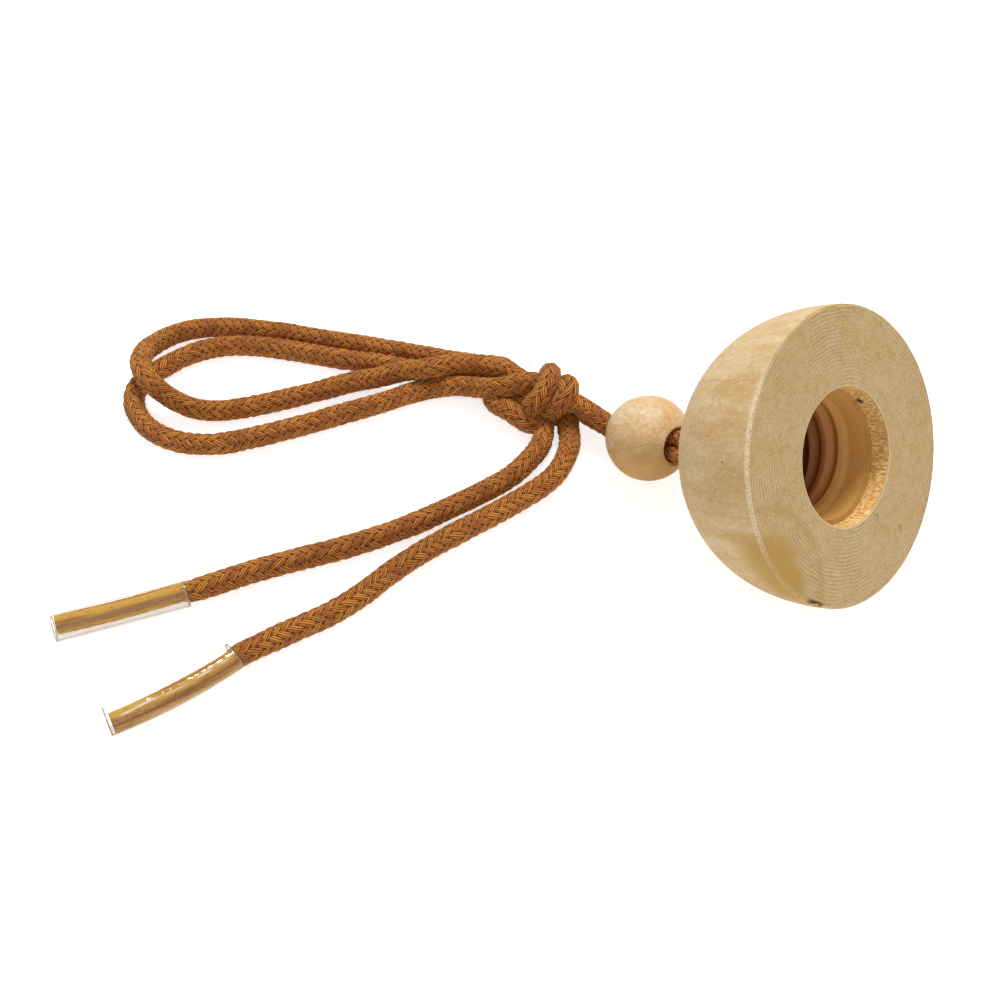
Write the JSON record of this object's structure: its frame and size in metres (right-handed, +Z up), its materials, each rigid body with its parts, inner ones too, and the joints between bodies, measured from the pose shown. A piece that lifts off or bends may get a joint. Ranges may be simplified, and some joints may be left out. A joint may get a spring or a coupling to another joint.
{
  "type": "hanging cord screw cap",
  "caption": "Turned wooden dome-shaped screw cap with a threaded socket, on a doubled braided hanging cord with a wooden bead, a slip knot with nested loops, and clear aglets.",
  "frame": {"origin": "on the surface the object lies on, under the middle of the box around the cap and the bead", "axes": "+Z up; +X the way the socket faces, seen from above; the cap's axis lies in the XZ plane, tilted up 32 degrees"},
  "size_m": [0.0924, 0.0825, 0.0301],
  "materials": {
    "cap_wood": "turned, unvarnished, satin",
    "bead_wood": "turned and tumbled, satin",
    "cord": "braided cotton, matt, slightly fuzzy",
    "aglet_plastic": "clear, gloss"
  },
  "bodies": {
    "cord": {"stopper_knot": "cord", "neck_strand_a": "cord", "neck_strand_b": "cord", "slip_knot": "cord", "loop_a": "cord", "loop_b": "cord", "tail_a": "cord", "tail_b": "cord", "aglet_a": "aglet_plastic", "aglet_b": "aglet_plastic"},
    "cap": {"screw_cap": "cap_wood"},
    "bead": {"bead": "bead_wood"}
  },
  "joints": [
    {"name": "cap_swivel", "type": "hinge", "parent": "cord", "child": "cap", "pos_m": [0.01008, 0, 0.01687], "axis": [0.848, 0, 0.5299], "continuous": true},
    {"name": "bead_slide", "type": "slide", "parent": "cord", "child": "bead", "axis": [0.9323, -0.0489, 0.3584], "range_m": [-0.0015, 0.002]}
  ]
}
